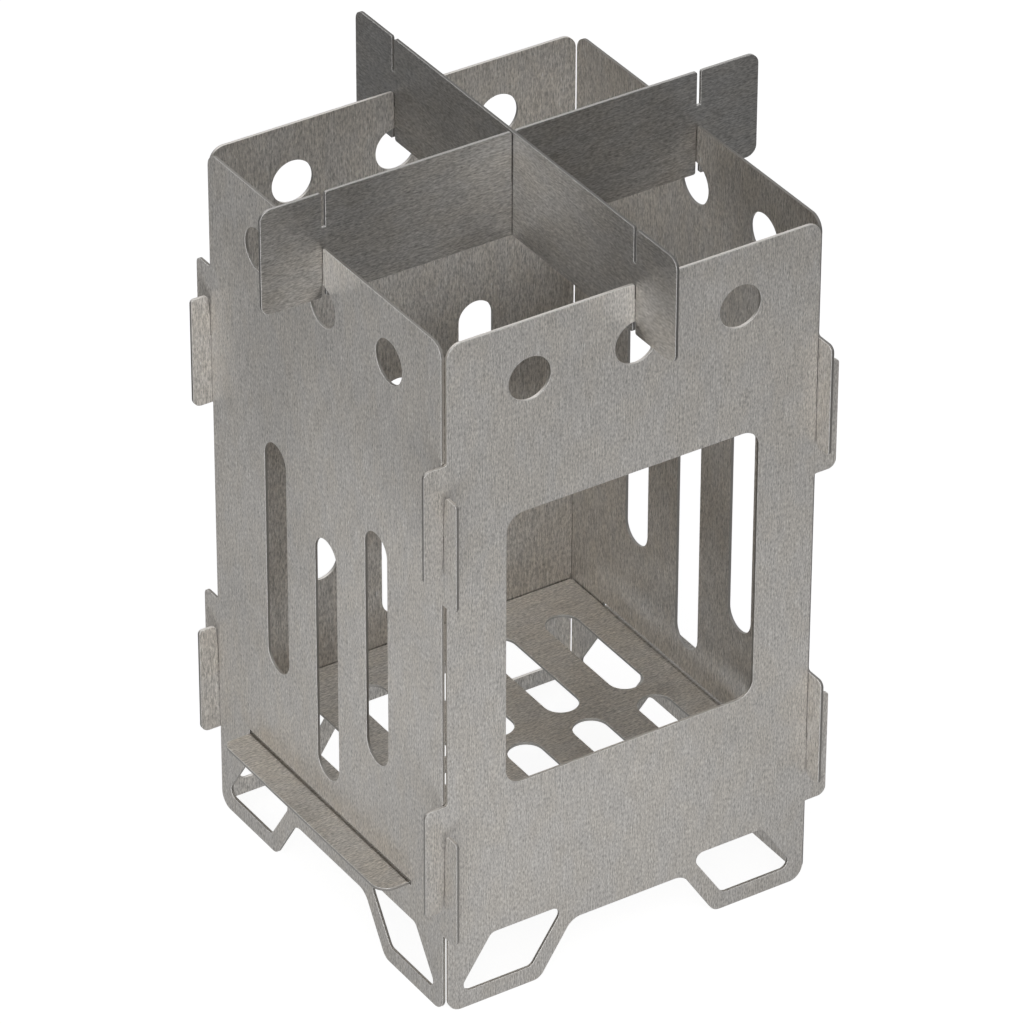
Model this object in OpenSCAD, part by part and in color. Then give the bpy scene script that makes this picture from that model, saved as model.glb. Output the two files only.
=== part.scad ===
// Flat-pack hobo stove.
// Four hooked walls, a grate whose tabs pass through the side walls, and two crossing support bars.
// X runs along the front wall to the right, Y to the back, Z up.
// The origin is on the ground under the middle of the stove.

/* [Body] */
// width over the outer faces of two facing walls
body_w = 110; // [90:1:140]
// height of the walls with their feet
wall_h = 197.5; // [150:0.5:240]
// thickness of every sheet
sheet = 0.8; // [0.5:0.1:1.5]
// how far the edge of a wall ends short of the inner face of the next wall
corner_gap = 0.2; // [0.1:0.1:1.5]
// rounding of the top corners of the walls
top_r = 4; // [1:0.5:8]

/* [Corner hooks] */
// reach of a hook beyond the body
hook_reach = 5.6; // [3:0.1:9]
// height of one hook
hook_h = 31.7; // [20:0.1:45]
// bottom of the lower hooks that open upward
up_hook_z = 24.1; // [15:0.1:40]
// how much higher the hooks that open downward sit
hook_step = 8.2; // [4:0.1:12]
// distance from the wall top down to the upper hooks that open downward
hook_drop = 33.5; // [20:0.5:50]
// gap between a hook finger and the sheet it holds
hook_gap = 0.2; // [0.05:0.05:0.5]
// rounding at the shoulder of a hook that opens downward
shoulder_r = 1.8; // [0.5:0.1:3]
// rounding at the heel of a hook that opens upward
heel_r = 2.4; // [0.5:0.1:4]
// rounding of the finger tips
tip_r = 1.1; // [0.3:0.1:2]
// height of the tapered lead-in on the inner side of a finger
lead_h = 6.5; // [0.5:0.5:10]
// how far the lead-in opens at the finger tip
lead_w = 0.6; // [0:0.1:1.5]
// rounding in the root above and under a hook
root_r = 0.8; // [0.2:0.1:2]

/* [Vent holes and bar slots] */
// diameter of the vent holes
vent_d = 12.1; // [6:0.1:16]
// depth of the vent hole centres under the wall top
vent_drop = 16.6; // [12:0.1:30]
// distance of the outer vent holes from the middle
vent_x = 30.5; // [18:0.5:38]
// gap on each side of a sheet in its slot
slot_gap = 0.2; // [0.05:0.05:0.5]
// depth of the bar slot in a wall
wall_slot_h = 4.4; // [2:0.1:8]
// rounding of the slot mouths
mouth_r = 0.6; // [0.2:0.1:1.5]

/* [Air slots] */
// width of the long air slots
air_w = 10.4; // [5:0.1:14]
// distance of the outer air slots from the middle
air_x = 23.8; // [16:0.1:30]
// height of the bottom of the outer air slots
air_outer_z = 58.8; // [45:0.1:80]
// distance from the wall top down to the outer air slots
air_outer_drop = 69.7; // [40:0.1:90]
// height of the bottom of the middle air slot
air_middle_z = 39.8; // [36:0.1:60]
// distance from the wall top down to the middle air slot
air_middle_drop = 85.1; // [50:0.1:110]

/* [Fuel window] */
// distance from the side of the body to the window in the front wall
window_side = 18; // [10:0.5:30]
// height of the lower edge of the window
window_z = 63.5; // [45:0.5:90]
// distance from the wall top down to the window
window_drop = 54; // [35:0.5:70]
// rounding of the window corners
window_r = 5; // [1:0.5:12]

/* [Feet] */
// height of the arch between the feet
arch_h = 15; // [8:0.5:20]
// width of a foot on the ground
foot_w = 27.4; // [20:0.1:32]
// sideways lean of the arch over its height
arch_lean = 9.7; // [0:0.1:14]
// rounding of the outer bottom corner of a foot
foot_outer_r = 4; // [1:0.5:6]
// rounding of the inner bottom corner of a foot
foot_inner_r = 3.5; // [1:0.5:6]
// rounding where the arch meets a foot
arch_r = 5; // [1:0.5:8]
// height of the lower edge of the cut-out in a foot
cut_z = 4.8; // [3:0.1:8]
// height of the cut-out
cut_h = 15.4; // [8:0.1:18]
// distance from the edge of the wall to the cut-out
cut_side = 2.7; // [1.5:0.1:6]
// length of the cut-out
cut_w = 22.2; // [12:0.1:26]
// sideways lean of the cut-out over its height
cut_lean = 10.2; // [0:0.1:14]
// rounding of the cut-out corners
cut_r = 2.2; // [0.5:0.1:4]

/* [Grate] */
// top face of the grate
grate_z = 31.2; // [26:0.1:36]
// gap between the grate and the walls around it
grate_gap = 0.3; // [0.1:0.1:1]
// distance from the corner of the grate to a tab
tab_side = 15.5; // [10:0.1:30]
// reach of the tabs beyond the side walls
tab_reach = 8.5; // [4:0.1:14]
// rounding of the front corners of the tabs
tab_front_r = 4.5; // [1:0.5:8]
// rounding of the back corners of the tabs
tab_back_r = 2.5; // [1:0.5:8]
// slot beyond each end of a tab
tab_side_gap = 0.8; // [0.2:0.1:2]
// slot above a tab
tab_top_gap = 0.9; // [0.3:0.1:2]
// width of the ash slots
ash_w = 9.8; // [5:0.1:14]
// number of ash slots in a row
ash_count = 5; // [2:1:6]
// distance from the side of the grate to the first ash slot
ash_side = 9; // [4:0.5:20]
// distance from the front and the back of the grate to the ash slots
ash_end = 12.5; // [6:0.1:20]
// width of the strip between the two rows of ash slots
ash_strip = 4.8; // [2:0.1:12]

/* [Support bars] */
// height of a support bar
bar_h = 29.4; // [20:0.1:40]
// reach of a bar beyond the body
bar_reach = 17.4; // [8:0.1:25]
// rounding of the bar corners
bar_r = 3; // [1:0.5:6]
// depth of the narrow slots in the bars at the walls
bar_slot_h = 9.7; // [5:0.1:14]

/* [Hidden] */
// overrun of every cut
over = 1;
half = body_w / 2;
inner = half - sheet;
edge_x = inner - corner_gap;
hook_x = half + hook_reach;
finger_x = half + hook_gap;
slot_w = sheet + 2 * slot_gap;
down_hook_z = up_hook_z + hook_step;
// height between the lower and the upper level of hooks
hook_pitch = wall_h - hook_drop - hook_h - down_hook_z;
// the crossing sheets meet in the middle of the height that both hooks share
hook_mid_z = (down_hook_z + up_hook_z + hook_h) / 2;
vent_z = wall_h - vent_drop;
air_outer_z1 = wall_h - air_outer_drop;
air_middle_z1 = wall_h - air_middle_drop;
window_x = half - window_side;
window_z1 = wall_h - window_drop;
arch_x0 = edge_x - foot_w;
arch_x1 = arch_x0 - arch_lean;
cut_x1 = edge_x - cut_side;
cut_x0 = cut_x1 - cut_w;
cut_z1 = cut_z + cut_h;
grate_half = inner - grate_gap;
tab_y = grate_half - tab_side;
ash_y0 = ash_strip / 2;
ash_y1 = grate_half - ash_end;
ash_pitch = (2 * (grate_half - ash_side) - ash_w) / (ash_count - 1);
bar_z0 = wall_h - wall_slot_h - bar_slot_h;
bar_z1 = bar_z0 + bar_h;
bar_half = half + bar_reach;
bar_mid_z = (bar_z0 + bar_z1) / 2;
wall_line = half - sheet / 2;
// a rounding's centre lies this share of its radius inside the edges, so that its arc crosses them
rim_share = 0.998;
// a rounding's tool reaches to this share of the way from the centre to the corner and the edges
tool_share = 1.05;
steel = [0.70, 0.69, 0.67];
dark_steel = [0.55, 0.55, 0.54];
$fn = 64;

// Rounded outlines

function unit(v) = v / norm(v);

// a path is a list of [x, y, radius], counter-clockwise; edges back and ahead leave each corner
module rounded(path) {
    n = len(path);
    at = [for (p = path) [p[0], p[1]]];
    back = [for (i = [0 : n - 1]) unit(at[(i + n - 1) % n] - at[i])];
    ahead = [for (i = [0 : n - 1]) unit(at[(i + 1) % n] - at[i])];
    turn = [for (i = [0 : n - 1]) ahead[i][0] * back[i][1] - ahead[i][1] * back[i][0]];
    difference() {
        union() {
            polygon(at);
            for (i = [0 : n - 1])
                if (path[i][2] > 0 && turn[i] < 0)
                    corner_piece(at[i], ahead[i], back[i], path[i][2]);
        }
        for (i = [0 : n - 1])
            if (path[i][2] > 0 && turn[i] > 0)
                corner_piece(at[i], back[i], ahead[i], path[i][2]);
    }
}

// what a rounding takes off an outer corner or fills into an inner one, between two edge directions
module corner_piece(corner, first, second, r) {
    half_angle = acos(first * second) / 2;
    inset = r * rim_share;
    centre = corner + unit(first + second) * (inset / sin(half_angle));
    run = inset / tan(half_angle);
    difference() {
        polygon([
            centre,
            centre + (corner + first * run - centre) * tool_share,
            centre + (corner - centre) * tool_share,
            centre + (corner + second * run - centre) * tool_share]);
        translate(centre)
            circle(r = r);
    }
}

// upright slot with round ends
module round_slot(x, z0, z1, w) {
    translate([x - w / 2, z0 + w / 2])
        square([w, z1 - z0 - w]);
    translate([x, z0 + w / 2])
        circle(d = w);
    translate([x, z1 - w / 2])
        circle(d = w);
}

// slot for a crossing sheet, open at height z, with a rounded mouth; d is 1 for down and -1 for up
module sheet_slot(x, z, depth, d) {
    w = slot_w / 2;
    path = [
        [x - w - mouth_r, z + d * over, 0],
        [x - w - mouth_r, z, 0],
        [x - w, z, mouth_r],
        [x - w, z - d * depth, 0],
        [x + w, z - d * depth, 0],
        [x + w, z, mouth_r],
        [x + w + mouth_r, z, 0],
        [x + w + mouth_r, z + d * over, 0]];
    rounded(d > 0 ? path : [for (i = [len(path) - 1 : -1 : 0]) path[i]]);
}

// Walls, drawn flat as seen from outside

// right edge, going up: two hooks that open upward
function up_hook(z) = [
    [edge_x, z, root_r],
    [hook_x, z, heel_r],
    [hook_x, z + hook_h, tip_r],
    [finger_x + lead_w, z + hook_h, tip_r],
    [finger_x, z + hook_h - lead_h, 0],
    [finger_x, z - up_hook_z + hook_mid_z - hook_gap, 0],
    [edge_x, z - up_hook_z + hook_mid_z - hook_gap, 0]];

// left edge, going down: two hooks that open downward
function down_hook(z) = [
    [-edge_x, z + hook_h, root_r],
    [-hook_x, z + hook_h, shoulder_r],
    [-hook_x, z, tip_r],
    [-finger_x - lead_w, z, tip_r],
    [-finger_x, z + lead_h, 0],
    [-finger_x, z - down_hook_z + hook_mid_z + hook_gap, 0],
    [-edge_x, z - down_hook_z + hook_mid_z + hook_gap, 0]];

wall_outline = concat(
    [[-edge_x, 0, foot_outer_r],
     [-arch_x0, 0, foot_inner_r],
     [-arch_x1, arch_h, arch_r],
     [arch_x1, arch_h, arch_r],
     [arch_x0, 0, foot_inner_r],
     [edge_x, 0, foot_outer_r]],
    up_hook(up_hook_z),
    up_hook(up_hook_z + hook_pitch),
    [[edge_x, wall_h, top_r],
     [-edge_x, wall_h, top_r]],
    down_hook(down_hook_z + hook_pitch),
    down_hook(down_hook_z));

module foot_cut_out() {
    rounded([
        [cut_x0, cut_z, cut_r],
        [cut_x1, cut_z, cut_r],
        [cut_x1 - cut_lean, cut_z1, cut_r],
        [cut_x0 - cut_lean, cut_z1, cut_r]]);
}

module wall_blank() {
    difference() {
        rounded(wall_outline);
        foot_cut_out();
        mirror([1, 0])
            foot_cut_out();
        for (x = [-vent_x, 0, vent_x])
            translate([x, vent_z])
                circle(d = vent_d);
        sheet_slot(0, wall_h, wall_slot_h, 1);
    }
}

module air_slots() {
    for (x = [-air_x, air_x])
        round_slot(x, air_outer_z, air_outer_z1, air_w);
    round_slot(0, air_middle_z, air_middle_z1, air_w);
}

module tab_slot() {
    translate([-tab_y - tab_side_gap, grate_z - sheet])
        square([2 * (tab_y + tab_side_gap), sheet + tab_top_gap]);
}

module window() {
    rounded([
        [-window_x, window_z, window_r],
        [window_x, window_z, window_r],
        [window_x, window_z1, window_r],
        [-window_x, window_z1, window_r]]);
}

// stand a flat wall up on the side that lies turn degrees from the front
module stand(turn) {
    rotate([0, 0, turn])
        translate([0, sheet - half, 0])
            rotate([90, 0, 0])
                linear_extrude(height = sheet)
                    children();
}

module front_wall() {
    color(steel)
        stand(0)
            difference() {
                wall_blank();
                window();
            }
}

module side_wall(turn) {
    color(steel)
        stand(turn)
            difference() {
                wall_blank();
                air_slots();
                tab_slot();
            }
}

module right_wall() {
    side_wall(90);
}

module left_wall() {
    side_wall(-90);
}

module back_wall() {
    color(steel)
        stand(180)
            difference() {
                wall_blank();
                air_slots();
            }
}

// Grate

module fire_grate() {
    corner = grate_half;
    reach = half + tab_reach;
    color(dark_steel)
        translate([0, 0, grate_z - sheet])
            linear_extrude(height = sheet)
                difference() {
                    rounded([
                        [-corner, -corner, root_r],
                        [corner, -corner, root_r],
                        [corner, -tab_y, 0],
                        [reach, -tab_y, tab_front_r],
                        [reach, tab_y, tab_back_r],
                        [corner, tab_y, 0],
                        [corner, corner, root_r],
                        [-corner, corner, root_r],
                        [-corner, tab_y, 0],
                        [-reach, tab_y, tab_back_r],
                        [-reach, -tab_y, tab_front_r],
                        [-corner, -tab_y, 0]]);
                    for (i = [0 : ash_count - 1]) {
                        x = (i - (ash_count - 1) / 2) * ash_pitch;
                        round_slot(x, ash_y0, ash_y1, ash_w);
                        round_slot(x, -ash_y1, -ash_y0, ash_w);
                    }
                }
}

// Support bars, drawn flat

module bar_blank() {
    difference() {
        rounded([
            [-bar_half, bar_z0, bar_r],
            [bar_half, bar_z0, bar_r],
            [bar_half, bar_z1, bar_r],
            [-bar_half, bar_z1, bar_r]]);
        for (x = [-wall_line, wall_line]) {
            sheet_slot(x, bar_z1, bar_slot_h, 1);
            sheet_slot(x, bar_z0, bar_slot_h, -1);
        }
    }
}

// lies along X, with its notch open at the top
module lower_support_bar() {
    color(dark_steel)
        translate([0, sheet / 2, 0])
            rotate([90, 0, 0])
                linear_extrude(height = sheet)
                    difference() {
                        bar_blank();
                        sheet_slot(0, bar_z1, bar_z1 - bar_mid_z, 1);
                    }
}

// lies along Y, with its notch open at the bottom
module upper_support_bar() {
    color(dark_steel)
        rotate([0, 0, 90])
            translate([0, sheet / 2, 0])
                rotate([90, 0, 0])
                    linear_extrude(height = sheet)
                        difference() {
                            bar_blank();
                            sheet_slot(0, bar_z0, bar_mid_z - bar_z0, -1);
                        }
}

front_wall();
left_wall();
right_wall();
back_wall();
fire_grate();
lower_support_bar();
upper_support_bar();
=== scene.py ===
"""Looks of the plug-together hobo stove: brushed steel on a pale floor in soft studio light."""

import math

import bpy
from mathutils import Matrix, Vector

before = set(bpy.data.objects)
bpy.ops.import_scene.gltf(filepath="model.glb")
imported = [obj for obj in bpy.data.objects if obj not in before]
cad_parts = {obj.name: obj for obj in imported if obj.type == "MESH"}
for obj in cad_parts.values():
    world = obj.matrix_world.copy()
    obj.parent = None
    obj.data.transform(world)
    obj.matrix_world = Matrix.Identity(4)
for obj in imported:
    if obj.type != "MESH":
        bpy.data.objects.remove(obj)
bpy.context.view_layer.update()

scene = bpy.context.scene
scene.view_settings.view_transform = "Standard"
scene.view_settings.look = "None"

X, Y, Z = Vector((1, 0, 0)), Vector((0, 1, 0)), Vector((0, 0, 1))
WHITE = (1, 1, 1, 1)


# Camera, at the photograph's viewing angle. Lengths are in metres here and below.

CAMERA_AT = (-0.82669, -1.27883, 1.10338)
YAW, PITCH, ROLL = math.radians(32.884), math.radians(33.346), math.radians(0.198)
FOCAL_SHARE = 7.0490  # focal length over the width of the image
SENSOR = 36.0
NEAR, FAR = 0.05, 30

ahead = Vector((math.sin(YAW) * math.cos(PITCH), math.cos(YAW) * math.cos(PITCH), -math.sin(PITCH)))
level = Vector((math.cos(YAW), -math.sin(YAW), 0))
above = level.cross(ahead)
right = math.cos(ROLL) * level + math.sin(ROLL) * above
up = math.cos(ROLL) * above - math.sin(ROLL) * level

camera = bpy.data.objects.new("camera", bpy.data.cameras.new("camera"))
scene.collection.objects.link(camera)
camera.data.sensor_width = SENSOR
camera.data.lens = SENSOR * FOCAL_SHARE
camera.data.clip_start, camera.data.clip_end = NEAR, FAR
facing = Matrix((right, up, -ahead)).transposed().to_4x4()
camera.matrix_world = Matrix.Translation(CAMERA_AT) @ facing
scene.camera = camera


# Materials


class Graph:
    """Nodes of a material or of the world, added one call at a time."""

    def __init__(self, owner):
        owner.use_nodes = True
        self.tree = owner.node_tree
        self.tree.nodes.clear()

    def node(self, kind, inputs=(), **settings):
        """Adds a node; an input is a value or the output that feeds it."""
        n = self.tree.nodes.new(kind)
        for key, value in settings.items():
            setattr(n, key, value)
        for key, value in dict(inputs).items():
            if isinstance(value, bpy.types.NodeSocket):
                self.tree.links.new(value, n.inputs[key])
            else:
                n.inputs[key].default_value = value
        return n

    def remap(self, value, span, to_low, to_high):
        """Carries the ends of a span to two new values, and keeps these beyond the span."""
        inputs = {0: value, 1: span[0], 2: span[1], 3: to_low, 4: to_high}
        return self.node("ShaderNodeMapRange", inputs, clamp=True).outputs[0]

    def math(self, operation, a, b=0.0):
        return self.node("ShaderNodeMath", {0: a, 1: b}, operation=operation).outputs[0]

    def vector(self, operation, a, b=(0, 0, 0)):
        """Vector maths with a vector as the result."""
        return self.node("ShaderNodeVectorMath", {0: a, 1: b}, operation=operation).outputs[0]

    def measure(self, operation, a, b):
        """Vector maths with a number as the result."""
        n = self.node("ShaderNodeVectorMath", {0: a, 1: b}, operation=operation)
        return n.outputs["Value"]

    def scaled(self, vector, scale):
        n = self.node("ShaderNodeVectorMath", {0: vector, "Scale": scale}, operation="SCALE")
        return n.outputs[0]

    def gaussian(self, off, width):
        """1 where off is zero, falling as a bell curve of that width."""
        squared = self.math("POWER", self.math("DIVIDE", off, width), 2.0)
        return self.math("EXPONENT", self.math("MULTIPLY", squared, -0.5))

    def noise(self, point, scale, rough=0.5):
        """Noise stretched by a scale for each axis, from 0 to 1."""
        at = self.vector("MULTIPLY", point, scale)
        inputs = {"Vector": at, "Scale": 1.0, "Detail": NOISE_DETAIL, "Roughness": rough}
        return self.node("ShaderNodeTexNoise", inputs).outputs["Fac"]

    def mix(self, share, a, b):
        """Goes from a to b, colours or vectors, as the share goes from 0 to 1."""
        n = self.node("ShaderNodeMix", data_type="RGBA")
        for socket, value in ((n.inputs["Factor"], share), (n.inputs[6], a), (n.inputs[7], b)):
            if isinstance(value, bpy.types.NodeSocket):
                self.tree.links.new(value, socket)
            else:
                socket.default_value = value
        return n.outputs[2]


def stretched(grain, scales):
    """Scale of a noise for each axis: the first scale along the grain, the second across it."""
    along, across = scales
    return tuple(along if g else across for g in grain)


def brushed_steel(name, grain, face, tone, rolled_from):
    """Sheet steel with a fine grain along one axis, and broad sides that look along another, face.

    Upright cut faces are painted darker than level ones, as painted shade. Edges that lie
    rolled_from or more from the stove's axis are rounded a little and painted a bright polish:
    partly handling wear, partly a painted highlight.
    """
    material = bpy.data.materials.new(name)
    g = Graph(material)
    point = g.node("ShaderNodeTexCoord").outputs["Object"]
    flat = g.node("ShaderNodeNewGeometry").outputs["Normal"]

    hair = g.noise(point, stretched(grain, HAIR), HAIR_ROUGH)
    streak = g.noise(point, stretched(grain, STREAK))
    cloud = g.noise(point, CLOUD)
    tint = g.noise(point, stretched(grain, TINT))
    height = g.math("ADD", g.math("MULTIPLY", hair, HAIR_SHARE),
                    g.math("MULTIPLY", streak, 1 - HAIR_SHARE))
    strength = g.math("MULTIPLY",
                      g.remap(height, NOISE_SPAN, 1 - GRAIN_CONTRAST, 1 + GRAIN_CONTRAST),
                      g.remap(cloud, NOISE_SPAN, 1 - CLOUD_CONTRAST, 1 + CLOUD_CONTRAST))
    warm = tuple(c * w for c, w in zip(tone, WARM))
    cool = tuple(c * w for c, w in zip(tone, COOL))
    colour = g.mix(g.remap(tint, TINT_SPAN, 0.0, 1.0), (*warm, 1), (*cool, 1))
    colour = g.scaled(colour, strength)

    broad = g.math("ABSOLUTE", g.measure("DOT_PRODUCT", flat, tuple(face)))
    cut = g.remap(broad, CUT_SPAN, 1.0, 0.0)
    rise = g.math("ABSOLUTE", g.node("ShaderNodeSeparateXYZ", {0: flat}).outputs[2])
    # Painted shade: upright cut faces get a darker colour than level cut faces.
    colour = g.mix(cut, colour, g.scaled(tone, g.remap(rise, LEVEL_SPAN, UPRIGHT_CUT_SHADE, 1.0)))

    side = g.node("ShaderNodeSeparateXYZ", {0: g.vector("ABSOLUTE", point)})
    out = g.math("MAXIMUM", side.outputs[0], side.outputs[1])
    outer = (rolled_from - EDGE_RADIUS / 2, rolled_from + EDGE_RADIUS / 2)
    rolled = g.remap(out, outer, 0.0, 1.0)
    turned = g.node("ShaderNodeBevel", {"Radius": EDGE_RADIUS}, samples=EDGE_SAMPLES).outputs[0]
    # Polish and painted highlight: rolled edges are painted a near-white colour, partly handling
    # wear, partly a painted highlight line.
    bright = g.remap(g.measure("DOT_PRODUCT", turned, flat), BRIGHT_SPAN, 1.0, 0.0)
    worn_and_highlight = g.math("MULTIPLY", bright, g.remap(hair, WEAR_SPAN, LEAST_WEAR, 1.0))
    colour = g.mix(g.math("MULTIPLY", worn_and_highlight, rolled), colour, (*POLISH_AND_HIGHLIGHT, 1))

    roughness = g.math("ADD",
                       g.remap(streak, STREAK_SPAN, ROUGH - STREAK_ROUGH, ROUGH + STREAK_ROUGH),
                       g.remap(cloud, NOISE_SPAN, -CLOUD_ROUGH, CLOUD_ROUGH))
    bump = g.node("ShaderNodeBump", {
        "Strength": BUMP, "Distance": GRAIN_DEPTH, "Height": height,
        "Normal": g.mix(rolled, flat, turned)})
    # A reflection spreads across the grain, and on a cut face across its marks, which run
    # through the sheet.
    marks = g.mix(cut, (*grain, 1), (*face, 1))
    shader = g.node("ShaderNodeBsdfPrincipled", {
        "Base Color": colour, "Metallic": 1.0, "Roughness": roughness, "Normal": bump.outputs[0],
        "Anisotropic": 1.0, "Tangent": g.vector("CROSS_PRODUCT", flat, marks)})
    g.node("ShaderNodeOutputMaterial", {"Surface": shader.outputs[0]})
    return material


def sheet_middle(node):
    """How far the middle of a wall's sheet stands from the stove's axis."""
    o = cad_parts[node]
    across = [(o.matrix_world @ v.co).y for v in o.data.vertices]
    return abs(min(across) + max(across)) / 2


# Noise scales along and across the grain, in steps to the metre
HAIR, STREAK, TINT = (900, 3200), (120, 2400), (90, 150)
CLOUD = (30, 30, 30)
HAIR_ROUGH, NOISE_DETAIL = 0.6, 2.0
HAIR_SHARE = 0.7  # of the grain's height; the rest is streaks

# Spans of a noise over which a look changes
NOISE_SPAN, STREAK_SPAN, TINT_SPAN, WEAR_SPAN = (0.3, 0.7), (0.25, 0.75), (0.4, 0.6), (0.3, 0.6)

# Spans of the cosine between two directions over which a look changes
CUT_SPAN, LEVEL_SPAN, BRIGHT_SPAN = (0.3, 0.7), (0.3, 0.8), (0.8, 0.99)

GRAIN_CONTRAST, CLOUD_CONTRAST = 0.48, 0.03
WARM, COOL = (1.006, 1.0, 0.988), (0.994, 1.0, 1.01)
# Painted shade: upright cut faces are painted this much darker than level ones.
UPRIGHT_CUT_SHADE = 0.65  # brightness of an upright cut face against a level one
# Colour of rolled edges: partly handling polish, partly a painted highlight.
POLISH_AND_HIGHLIGHT = (0.95, 0.94, 0.92)
LEAST_WEAR = 0.5
EDGE_RADIUS, EDGE_SAMPLES = 0.0003, 6
ROUGH, STREAK_ROUGH, CLOUD_ROUGH = 0.38, 0.03, 0.02
BUMP, GRAIN_DEPTH = 0.2, 0.00001
WALL, GRATE, BAR = (0.755, 0.725, 0.685), (0.72, 0.69, 0.65), (0.54, 0.525, 0.505)
OUTSIDE = sheet_middle("front_wall")

# Each finish: the grain's axis, the axis of the broad sides, the tone, and where rolled edges begin
FINISHES = {
    "wall_steel_y": (Z, Y, WALL, OUTSIDE),
    "wall_steel_x": (Z, X, WALL, OUTSIDE),
    "grate_steel_z": (X, Z, GRATE, 0.0),
    "bar_steel_y": (X, Y, BAR, 0.0),
    "bar_steel_x": (Y, X, BAR, 0.0),
}
WEARS = {
    "front_wall": "wall_steel_y",
    "back_wall": "wall_steel_y",
    "left_wall": "wall_steel_x",
    "right_wall": "wall_steel_x",
    "fire_grate": "grate_steel_z",
    "lower_support_bar": "bar_steel_y",
    "upper_support_bar": "bar_steel_x",
}

finish = {name: brushed_steel(name, *values) for name, values in FINISHES.items()}
for node, wears in WEARS.items():
    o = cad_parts[node]
    o.data.materials.clear()
    o.data.materials.append(finish[wears])


# Pale floor and soft studio light

FLOOR_HALF, POOLS_HALF = 6.0, 3.0
FLOOR_Z, POOLS_Z = -0.0002, -0.0004
PAINT, PAINT_ROUGH, PAINT_GLOW = (0.2, 0.2, 0.2, 1), 0.9, 0.9


def flat_sheet(name, half, z, material):
    """A level square sheet that only belongs to the studio."""
    mesh = bpy.data.meshes.new(name)
    corners = [(-half, -half, 0), (half, -half, 0), (half, half, 0), (-half, half, 0)]
    mesh.from_pydata(corners, [], [(0, 1, 2, 3)])
    mesh.materials.append(material)
    o = bpy.data.objects.new(name, mesh)
    scene.collection.objects.link(o)
    o.location.z = z
    return o


def away(bearing):
    """Direction over the floor; 0 is the camera's side, counter-clockwise seen from above."""
    turn = math.atan2(CAMERA_AT[1], CAMERA_AT[0]) + math.radians(bearing)
    return Vector((math.cos(turn), math.sin(turn), 0))


pale = bpy.data.materials.new("pale_floor")
g = Graph(pale)
paint = g.node("ShaderNodeBsdfPrincipled", {
    "Base Color": PAINT, "Roughness": PAINT_ROUGH,
    "Emission Color": WHITE, "Emission Strength": PAINT_GLOW})
g.node("ShaderNodeOutputMaterial", {"Surface": paint.outputs[0]})
floor = flat_sheet("floor", FLOOR_HALF, FLOOR_Z, pale)
floor.visible_glossy = False

# What the steel sees of the floor: pools of light, each at a distance from the stove's axis and a
# bearing in degrees, with its strength and its width
POOLS = [
    (0.10, 30, 0.19, 0.06),
    (0.10, 270, 0.13, 0.05),
    (0.22, 0, 0.10, 0.09),
    (0.22, 60, 0.18, 0.09),
    (0.22, 300, 0.31, 0.09),
    (0.45, 0, 0.34, 0.19),
    (0.45, 120, 0.15, 0.19),
    (0.45, 180, 0.15, 0.19),
    (0.45, 300, 0.12, 0.19),
]
pools = bpy.data.materials.new("pools_of_light")
g = Graph(pools)
place = g.node("ShaderNodeNewGeometry").outputs["Position"]
light = 0.0
for distance, bearing, strength, width in POOLS:
    pool = g.gaussian(g.measure("DISTANCE", place, tuple(away(bearing) * distance)), width)
    light = g.math("ADD", g.math("MULTIPLY", pool, strength), light)
shine = g.node("ShaderNodeEmission", {"Strength": light})
clear = g.node("ShaderNodeBsdfTransparent")
both = g.node("ShaderNodeAddShader", {0: shine.outputs[0], 1: clear.outputs[0]})
g.node("ShaderNodeOutputMaterial", {"Surface": both.outputs[0]})
pool_sheet = flat_sheet("pools_of_light", POOLS_HALF, POOLS_Z, pools)
pool_sheet.visible_camera = pool_sheet.visible_diffuse = pool_sheet.visible_shadow = False


# The rest of the studio is dark, with glows, each at a height and a bearing in degrees, with its
# strength and its fall: the higher the fall, the smaller the glow
SOFT, CLOSE = 7.0, 25.0
GLOWS = [
    (-58, 0, 0.42, SOFT),
    (-58, 180, 0.15, SOFT),
    (-28, 90, 0.12, SOFT),
    (-28, 135, 0.25, SOFT),
    (-28, 180, 0.25, SOFT),
    (-28, 225, 0.1, SOFT),
    (-28, 270, 0.14, SOFT),
    (5, 0, 1.8, SOFT),
    (5, 180, 0.25, SOFT),
    (38, 0, 1.95, SOFT),
    (38, 60, 0.35, SOFT),
    (38, 120, 0.15, SOFT),
    (38, 180, 0.12, SOFT),
    (42, 208, 2.0, CLOSE),
    (36, 242, 0.6, CLOSE),
    (38, 300, 0.28, SOFT),
]

world = bpy.data.worlds.new("studio")
scene.world = world
g = Graph(world)
direction = g.node("ShaderNodeTexCoord").outputs["Generated"]
light = 0.0
for height, bearing, strength, fall in GLOWS:
    rise = math.radians(height)
    middle = away(bearing) * math.cos(rise) + Z * math.sin(rise)
    near = g.measure("DOT_PRODUCT", direction, tuple(middle))
    glow = g.math("EXPONENT", g.math("MULTIPLY", g.math("SUBTRACT", near, 1.0), fall))
    light = g.math("ADD", g.math("MULTIPLY", glow, strength), light)
backdrop = g.node("ShaderNodeBackground", {"Color": WHITE, "Strength": light})
g.node("ShaderNodeOutputWorld", {"Surface": backdrop.outputs[0]})
